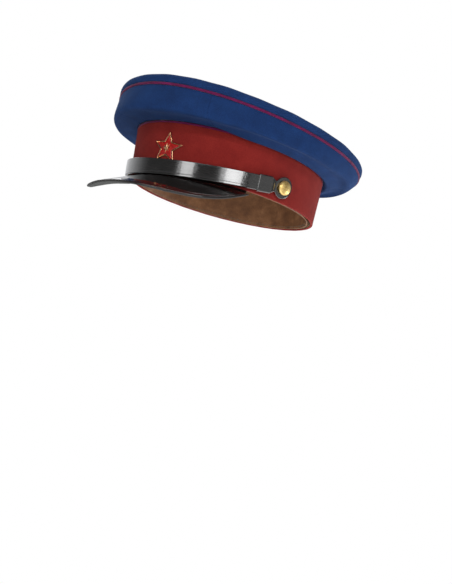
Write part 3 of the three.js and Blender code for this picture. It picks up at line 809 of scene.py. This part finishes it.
def add_crown_panel(name, start, end):
    """One of the four panels of the crown's side, between two seams."""
    seam = WALL.seam_gap / CROWN.radius
    angles = spaced(start + seam, end - seam, step=0.014, edge=0.03, fine=0.003)
    shares = spaced(0, 1, step=0.022, edge=0.05, fine=0.008)
    angle, share = np.meshgrid(angles, shares, indexing="ij")
    grid = wall_point(angle, share)
    side = np.minimum(angle - start, end - angle) * CROWN.radius
    middle = np.sin(math.pi * share) ** 0.7
    height = share * WALL.length
    puff = ripple("wall", angle, height) * middle
    puff += PANEL.puff * (1 - bell(side, PANEL.flat)) * middle
    pucker = PANEL.pucker * np.sin(height) * bell(side, PANEL.puckered) * middle
    groove = PANEL.groove * bell(side, 1.6)
    edge = np.minimum(height, WALL.length - height)
    sink = np.maximum(rounding(edge, 0.5), rounding(side, 0.3)) - puff - pucker + groove
    grid[..., 2] -= overhang(angle, share)
    outwards = grid - grid.mean((0, 1)) + [0, 0, -20]
    panel = slab(f"crown_{name}_cloth", grid, WALL.cloth, outwards, sink)
    put(panel, "crown_cloth", f"crown_{name}_panel")


def add_piping(name, node, radius, place):
    """A covered cord, very slightly uneven along its length."""
    turn = ring_angles(18)
    section = pairs(np.cos(turn), np.sin(turn))

    def swept(angle, x, y):
        swell = radius * (0.97 + ripple("cord", angle, 0))
        return place(angle, x * swell, y * swell)

    put(ring_mesh(name, ring_angles(420), section, swept), "piping_cloth", node)


def add_crown():
    add_crown_top()
    for i, name in enumerate(("front", "left", "rear", "right")):
        add_crown_panel(name, SEAMS[i], SEAMS[i + 1])

    def cord(angle, x, y):
        return crown_point(angle, CROWN.radius - PIPING.crown_in + x, y)

    add_piping("crown_edge_piping", "crown_piping", PIPING.crown_cord, cord)
    add_wadding()


def add_wadding():
    """The lumpy roll of padding under the crown's edge."""
    section = rounded([(-1, -1), (1, -1), (1, 1), (-1, 1)], 0.9, 0.25)

    def place(angle, x, y):
        size = WADDING.loose * (1 + ripple("wadding", angle, y * 4))
        radius = WADDING.ring + x * WADDING.width * size
        return crown_point(angle, radius, WADDING.rise + y * WADDING.height * size)

    roll = ring_mesh("wadding_roll", ring_angles(240), section, place)
    wadding = put(roll, "wadding", "crown_wadding")


# ---- Band ----


def add_band():
    inner, lip = -COVER.thick, -COVER.lip
    corners = [(0, 0), (0, COVER.top), (inner, COVER.top)]
    corners += [(inner, COVER.lip_height), (lip, COVER.lip_height), (lip, 0)]
    section = rounded(corners, COVER.edge, 1.4)

    def place(angle, out, up):
        outside = out > inner / 2
        face = outside * smooth(up, 1, 6) * (1 - smooth(up, 38, 43))
        seam = bell(from_rear_seam(angle), 0.8) * outside
        uneven = ripple("band", angle, up) * face
        hem = ripple("hem", angle, 0) * (1 - smooth(up, 0, 2))
        return band_point(angle, out + uneven - COVER.seam * seam, up + hem)

    cover = ring_mesh("band_cloth", ring_angles(300, [math.pi]), section, place)
    put(cover, "band_cloth", "band_cover")

    def cord(angle, x, y):
        return band_point(angle, PIPING.band_out + x, BAND.height + y)

    add_piping("band_edge_piping", "band_piping", PIPING.band, cord)


def add_sweatband():
    out, low, high = SWEATBAND.out, SWEATBAND.bottom, SWEATBAND.top
    inner = out - SWEATBAND.thick
    section = rounded([(out, low), (out, high), (inner, high), (inner, low)], 0.4, 1.3)

    def place(angle, distance, up):
        wave = ripple("sweatband", angle, up) * smooth(up, 6, 30)
        join = SWEATBAND.join * bell(from_rear_seam(angle), 1.0) * (distance < out - 0.5)
        return band_point(angle, distance - np.abs(wave) + join, up)

    band = ring_mesh("sweatband_leather", ring_angles(240, [math.pi]), section, place)
    put(band, "sweat_leather", "sweatband")
    angle = ring_angles(400)
    for end, up in (("lower", low + SWEATBAND.lower_stitch), ("upper", high - SWEATBAND.upper_stitch)):
        row, inwards = band_point(angle, inner, up), -band_normal(angle)
        made = stitches(f"sweatband_{end}_stitches", row, inwards, length=2.6, gap=0.9, radius=0.3)
        put(made, "sweat_leather", finish="sewing_thread")


# ---- Lining ----


def cut_corners(rows, times):
    """Rounds a run of rows of points by cutting its corners, and keeps its two ends."""
    for _ in range(times):
        made = []
        for a, b in zip(rows[:-1], rows[1:], strict=True):
            made += [a * 0.75 + b * 0.25, a * 0.25 + b * 0.75]
        rows = [rows[0], *made[1:-1], rows[-1]]
    return rows


def add_lining():
    angles = ring_angles(360)
    low = band_point(angles, LINING.out, LINING.bottom)
    bend = band_point(angles, LINING.out, LINING.bend)
    high = crown_point(angles, LINING.ring, LINING.rise)
    rows = [low, bend * 0.85 + low * 0.15, bend, bend * 0.85 + high * 0.15, bend * 0.5 + high * 0.5, high]
    grid = np.stack(cut_corners(rows, 3), 1)
    share = np.linspace(0, 1, grid.shape[1])[None, :]
    pleat = np.abs(np.sin(angles * LINING.pleats + 1.5 * np.sin(angles * 5)))[:, None]
    puff = -LINING.puff * pleat * np.sin(math.pi * share) ** 0.6
    outwards = grid * [1, 1, 0] - [0, 0, 30]
    side = slab("lining_side_satin", grid, -LINING.cloth, outwards, back_sink=puff, wrap_rows=True)
    put(side, "lining_satin", "lining_side")
    add_lining_top(angles)
    add_shield()


def add_lining_top(angles):
    """The lining under the crown's top. Its outline's height is a layer: 0 above and -1 below."""
    radius = np.linspace(0, LINING_TOP.ring, 60)
    under, over = pairs(radius, -1), pairs(radius[::-4], 0)

    def place(angle, distance, layer):
        turns = angle * LINING_TOP.gathers + 2 * np.sin(angle * 3)
        tension = LINING_TOP.gathered * np.sin(turns) * smooth(distance, 55, 100)
        sag = ripple("lining", angle, distance) * smooth(LINING_TOP.ring - distance, 0, 30)
        lower = layer < -0.5
        free = np.clip(distance / 30, 0, 1)
        rise = LINING_TOP.rise + layer * LINING.cloth + lower * free * (tension + sag)
        return crown_point(angle, distance, rise)

    top = disc_mesh("lining_top_satin", angles, np.vstack([under, over]), place)
    put(top, "lining_satin", "lining_top")


def add_shield():
    """A clear oval over the middle of the lining, sewn down round its edge."""
    level = LINING_TOP.rise - LINING.cloth - SHIELD.drop - SHIELD.thick
    share = np.concatenate([np.linspace(0, 0.9, 16), np.linspace(0.92, 1, 6)])
    lower, upper = pairs(share, 0), pairs(share[::-1], 1)

    def place(angle, distance, layer):
        x = SHIELD.width * np.sin(angle) * distance
        y = -SHIELD.length * np.cos(angle) * distance
        soft = rounding((1 - distance) * SHIELD.width, 0.25)
        thin = np.where(layer > 0.5, -soft, soft)
        rise = level + layer * SHIELD.thick + thin + 0 * x
        return tilted(x, y, rise)

    film = disc_mesh("sweat_shield_film", ring_angles(160), np.vstack([lower, upper]), place)
    put(film, "clear_film", "sweat_shield")
    angle = ring_angles(240)
    row = place(angle, np.full_like(angle, SHIELD.sewn_at), np.zeros_like(angle))
    down = np.broadcast_to(tilted(0, 0, -1) - tilted(0, 0, 0), row.shape)
    made = stitches("sweat_shield_stitches", row, down, length=2.8, gap=1.0, radius=0.28)
    put(made, "lining_satin", finish="sewing_thread")


# ---- Peak ----


def flange_rows(angles):
    """The rows of the peak's board that turn up inside the band, from the top down."""
    out = FLANGE.out
    bend = -out * math.tan(SLOPE.turn) - SLOPE.base
    places = [(out, FLANGE.top), (out, 4.5), (out, 2.0), (out, bend + 0.9), (out + 0.1, bend + 0.4)]
    places += [(out + 0.4, bend), (out + 1.4, bend - 0.45)]
    return np.stack([band_point(angles, place, up) for place, up in places], 1)


def add_peak_sheet(name, node, slot, top, thick, edge_radius, relief, upper):
    """A sheet of the peak whose face is that deep below its upper side. Only the upper one, the
    board, looks up and has a flange. relief gives the height of what is pressed into the face."""
    angles = spaced(-PEAK.end, PEAK.end, PEAK.end / 75)
    shares = np.concatenate([np.linspace(0, 0.78, 30), np.linspace(0.79, 1, 34)])
    reach = peak_reach(angles)[:, None]
    distance = PEAK.start + (reach - PEAK.start) * shares
    grid = peak_point(angles[:, None] + 0 * distance, distance, top + 0 * distance)
    if upper:
        flange = flange_rows(angles)
        grid = np.concatenate([flange, grid], 1)
        distance = np.concatenate([np.zeros(flange.shape[:2]), distance], 1)
    angle = angles[:, None] + 0 * distance
    side = (PEAK.end - np.abs(angle)) * BAND.width
    inset = np.minimum((reach - distance) * 0.9, side * 0.8 + 1.2)
    sink = rounding(np.minimum(reach - distance, side), edge_radius) - relief(inset, angle, distance)
    outwards = np.array([0, -0.5, 1.0]) if upper else np.array([0, 0.5, -1.0])
    put(slab(name, grid, thick, outwards, sink), slot, node)


def hemmed(inset, angle, distance):
    """A shallow furrow where the underside sheet is sewn down."""
    return -0.2 * bell(inset - 3.2, 0.8)


def embossed(inset, angle, distance):
    """A raised line inside the peak's edge, with a groove on either side."""
    line = 0.1 * bell(inset - 4.6, 0.75)
    groove = -0.05 * bell(inset - 2.9, 0.6) - 0.04 * bell(inset - 6.4, 0.6)
    uneven = ripple("peak", angle, distance) * smooth(inset, 7, 16)
    return (line + groove + uneven) * smooth(distance, 0.5, 3)


def add_peak():
    add_peak_sheet("peak_board", "peak", "patent_black", 0, PEAK.thick, 0.4, embossed, True)
    under = PEAK.thick + GAP + PEAK.lining
    add_peak_sheet("peak_underside", "peak_lining", "peak_lining", under, PEAK.lining, 0.3, hemmed, False)
    angle = spaced(-PEAK.end, PEAK.end, 0.008) * 0.999
    half = PEAK.thick / 2 + BEAD.drop

    def edge(a):
        return peak_point(a, peak_reach(a), half + 0 * a)

    tangent = unit(edge(angle + 1e-3) - edge(angle - 1e-3))
    ten = np.full_like(angle, 10)  # any distance will do, because the peak is straight that way
    down = unit(peak_point(angle, ten, 1 + 0 * angle) - peak_point(angle, ten, 0 * angle))
    path = edge(angle) + unit(np.cross(down, tangent)) * BEAD.clear
    bead = tube_mesh("peak_rolled_edge", path, BEAD.radius, 18)
    put(bead, "patent_black", "peak_edge_bead", finish="bead_black")


# ---- Chin strap ----


def strap_length(angle):
    """Length along the band from the button towards the front."""
    steps = np.linspace(-1.4, 1.6, 1201)
    pace = np.hypot(BAND.width * np.cos(steps), BAND.length * np.sin(steps))
    run = np.concatenate([[0], np.cumsum((pace[1:] + pace[:-1]) / 2 * np.diff(steps))])
    return np.interp(BUTTON.angle, steps, run) - np.interp(angle, steps, run)


def strap_outline(run, length, v):
    """Where v from -1 to 1 across the strap lies, and how far in from its edge that is."""
    width = STRAP.neck + (STRAP.half - STRAP.neck) * smooth(run, STRAP_NECK.start, STRAP_NECK.end)
    corner = STRAP_END.corner
    width = width - rounding(length - run, corner)
    tab = np.sqrt(np.maximum(STRAP.tab**2 - run**2, 0))
    y = v * np.maximum(tab, np.where(run > 0, width, 0))
    strip = np.where(run > 0, np.minimum(width - np.abs(y), length - run), -1)
    return y, np.maximum(STRAP.tab - np.hypot(run, y), strip)


def add_strap_half(name, side, out):
    """Half a strap: a round tab on the button, a neck, and a strip right across the front."""
    tab_turn = STRAP.tab / BAND.length
    tab = BUTTON.angle + tab_turn * np.cos(np.linspace(0.04, 1.35, 22))
    strip = spaced(-STRAP_END.angle, tab[-1] - 0.01, step=0.011, edge=0.04, fine=0.004)[::-1]
    angles = np.concatenate([tab, strip])
    across = spaced(-1, 1, step=0.07, edge=0.42, fine=0.03)
    angle, v = np.meshgrid(angles, across, indexing="ij")
    run = strap_length(angle)
    y, inset = strap_outline(run, strap_length(np.array(-STRAP_END.angle)), v)
    rise = smooth(run, STRAP_NECK.start, STRAP_NECK.end)
    layer = STRAP.inner + (out - STRAP.inner) * rise + STRAP.leather
    grid = band_point(side * angle, layer, strap_up(angle) + y)
    tooled = STRAP_FACE.groove * bell(inset - STRAP_FACE.groove_at, 0.6)
    arch = -STRAP_FACE.arch * (1 - (y / STRAP.half) ** 2) * smooth(run, 16, 24)
    wave = ripple("strap", angle, run)
    sink = rounding(inset, 0.28) + tooled + arch + wave
    outwards = band_normal(side * angle)
    half = slab(f"chin_strap_{name}_leather", grid, STRAP.leather, outwards, sink, rounding(inset, 0.2))
    bore_hole(half, band_frame(side * BUTTON.angle, BUTTON.up), BUTTON.hole)
    put(half, "strap_black", f"chin_strap_{name}", body="chin_strap")


def bore_hole(piece, place, radius):
    """A hole for the button's shank."""
    sides = 32
    turn = ring_angles(sides)
    rows = np.vstack([points(radius * np.cos(turn), radius * np.sin(turn), z) for z in (0.0, 9.0)])
    drill = placed(mesh_object("drill", rows, tube_faces(2, sides)), place)
    cut = piece.modifiers.new("hole", "BOOLEAN")
    cut.operation = "DIFFERENCE"
    cut.object = drill
    cut.solver = "EXACT"
    bpy.context.view_layer.update()
    made = bpy.data.meshes.new_from_object(piece.evaluated_get(bpy.context.evaluated_depsgraph_get()))
    piece.modifiers.clear()
    piece.data = made
    bpy.data.objects.remove(drill)


def add_keeper(name, side):
    """A loop of the same leather round both halves of the strap."""
    low = STRAP.inner - KEEPER.clear - KEEPER.wall
    high = STRAP.outer + STRAP.leather + KEEPER.close + KEEPER.wall
    half = STRAP.half + KEEPER.clear + KEEPER.wall
    loop = rounded([(low, -half), (high, -half), (high, half), (low, half)], KEEPER.corner, 0.7)
    across = spaced(-1, 1, step=0.08, edge=0.3, fine=0.04)
    row, v = np.meshgrid(np.arange(len(loop)), across, indexing="ij")
    angle = KEEPER.angle + KEEPER.half_angle * v
    out, up = loop[row, 0], loop[row, 1]
    grid = band_point(side * angle, out, strap_up(angle) + up)
    inset = (1 - np.abs(v)) * KEEPER.half_angle * BAND.length
    wave = ripple("keeper", row * 0.2, v * 9)
    sink = rounding(inset, 0.06) + 0.03 * bell(inset - 1.5, 0.5) + wave
    middle = band_point(side * angle, (low + high) / 2, strap_up(angle))
    made = slab(f"{name}_loop", grid, KEEPER.wall, grid - middle, sink, wrap_rows=True)
    put(made, "strap_black", name, body=name)


def add_strap():
    add_strap_half("left", SIDES["left"], STRAP.outer)
    add_strap_half("right", SIDES["right"], STRAP.inner)
    for name, side in SIDES.items():
        add_keeper(f"keeper_{name}", side)


# ---- Buttons and badge ----


def button_height(radius, angle):
    """A domed button with a rolled rim, a beaded ring and a plain rosette."""
    share = radius / BUTTON.radius
    dome = BUTTON.edge + (BUTTON.top - BUTTON.edge - 0.4) * np.sqrt(np.maximum(1 - share**2, 0))
    rim = 0.26 * bell(share - 0.89, 0.06)
    beads = 0.1 * bell(share - 0.74, 0.05) * (0.55 + 0.45 * np.cos(32 * angle))
    petals = 0.15 * np.abs(np.cos(4 * angle)) ** 1.5 * bell(share - 0.4, 0.17)
    veins = -0.05 * bell(np.sin(4 * angle) * share, 0.06) * bell(share - 0.4, 0.19)
    boss = 0.18 * bell(share, 0.14)
    return dome + rim + beads + petals + veins + boss


def add_button(name, side):
    full, skirt, edge = BUTTON.radius, BUTTON.skirt, BUTTON.edge
    radius = np.concatenate([np.linspace(0, 0.96, 44), np.sin(np.linspace(1.31, QUARTER, 6))]) * full
    lip = [[full, skirt + 0.6], [full - 0.1, skirt + 0.15], [full - 0.4, skirt]]
    lip += [[full - 0.7, skirt + 0.15], [full - 0.8, skirt + 0.8]]
    turn = np.linspace(0.97, 0, 8)
    hollow = BUTTON.top - edge - BUTTON.wall
    inner = pairs(np.linspace(full - 1, 0, 8), edge + hollow * np.sqrt(1 - turn**2))
    top = pairs(radius, -1)  # a height of -1 stands for the stamped face
    section = np.vstack([top, lip, inner])

    def place(angle, distance, height):
        face = np.where(height < 0, button_height(distance, angle), height)
        return points(distance * np.cos(angle), distance * np.sin(angle), face)

    cap = disc_mesh(f"{name}_stamped_cap", ring_angles(144), section, place)
    placed(cap, band_frame(side * BUTTON.angle, BUTTON.up))
    put(cap, "brass", f"{name}_cap")


def star_mesh(name, radius, profile, tips=5, waist=STAR.waist):
    """A star. profile gives [distance in from the edge, height] from the middle out to the edge
    and back underneath to the middle. waist is the share of the radius at its inner corners."""
    stretch = np.array([BADGE.across, BADGE.tall])
    corners = []
    for k in range(2 * tips):
        reach = radius if k % 2 == 0 else radius * waist
        turn = k * math.pi / tips
        corners.append(stretch * reach * [math.sin(turn), math.cos(turn)])
    steps = np.linspace(0, 1, 9, endpoint=False)
    sides = zip(corners, corners[1:] + corners[:1], strict=True)
    rim = np.array([a + (b - a) * t for a, b in sides for t in steps])
    edge = corners[1] - corners[0]
    apothem = abs(corners[0][0] * edge[1] - corners[0][1] * edge[0]) / np.linalg.norm(edge)
    share = 1 - np.clip(profile[:, 0], 0, apothem) / apothem
    grid = points(rim[:, None, 0] * share, rim[:, None, 1] * share, profile[None, :, 1])
    grid[..., 2] -= grid[..., 0] ** 2 / (2 * BADGE.bend)
    return fan_mesh(name, grid[:, 1:-1], grid[0, 0], grid[0, -1])


def add_badge():
    """The star's base with a tray, the enamel in it, and a sunburst on the enamel."""
    place = band_frame(BADGE.angle, BADGE.up)
    place = place @ Matrix.Rotation(BADGE.tilt, 4, "X") @ Matrix.Rotation(BADGE.lean, 4, "Z")
    centre = 9  # further in than any star reaches, so that it stands for its middle
    low, rim = BADGE.out, STAR.rim
    high, floor, face, up = low + STAR.plate, low + STAR.tray, low + STAR.face, low + EMBLEM.up

    base = [(centre, floor), (rim + 0.1, floor), (rim + 0.04, high - 0.1), (rim - 0.1, high)]
    base += [(0.25, high), (0.1, high - 0.06), (0.0, high - 0.2), (0.0, low + 0.1), (0.1, low), (centre, low)]
    made = star_mesh("badge_star_base", BADGE.radius, np.array(base))
    put(placed(made, place), "brass", "badge_base", finish="badge_gilt")

    glass = [(d, face + 0.08 * d) for d in np.linspace(centre, 0.3, 10)]
    glass += [(0.1, face - 0.03), (0.0, face - 0.12), (0.0, low + 0.78), (centre, low + 0.75)]
    made = star_mesh("badge_star_enamel", STAR.enamel, np.array(glass))
    put(placed(made, place), "enamel_red", "badge_enamel")

    rays = [(centre, up + 0.6), (0.5, up + 0.3), (0.1, up + 0.15), (0.0, up)]
    rays += [(0.0, up - 0.3), (0.1, up - 0.35), (centre, up - 0.35)]
    made = star_mesh("badge_sunburst", EMBLEM.radius, np.array(rays), EMBLEM.tips, EMBLEM.waist)
    put(placed(made, place), "brass", "badge_boss", finish="badge_gilt")


# ---- The frame's own pieces ----


def finish_frame():
    """The hidden fittings keep their CAD shape, and take their real finish."""
    finishes = {
        "band_stiffener": "fibreboard",
        "crown_hoop": "spring_steel",
        "front_stay": "spring_steel",
        "badge_screw_post": "brass",
        "badge_nut": "brass",
    }
    for side in SIDES:
        finishes[f"button_{side}_back"] = "brass"
        finishes[f"button_{side}_shank"] = "brass"
        finishes[f"button_{side}_washer"] = "spring_steel"
        finishes[f"button_{side}_split_pin"] = "spring_steel"
    for node, finish in finishes.items():
        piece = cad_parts[node]
        piece.data.materials.clear()
        piece.data.materials.append(FINISH[finish])


add_camera()
add_studio()
add_crown()
add_band()
add_sweatband()
add_lining()
add_peak()
add_strap()
for side_name, way in SIDES.items():
    add_button(f"button_{side_name}", way)
add_badge()
finish_frame()
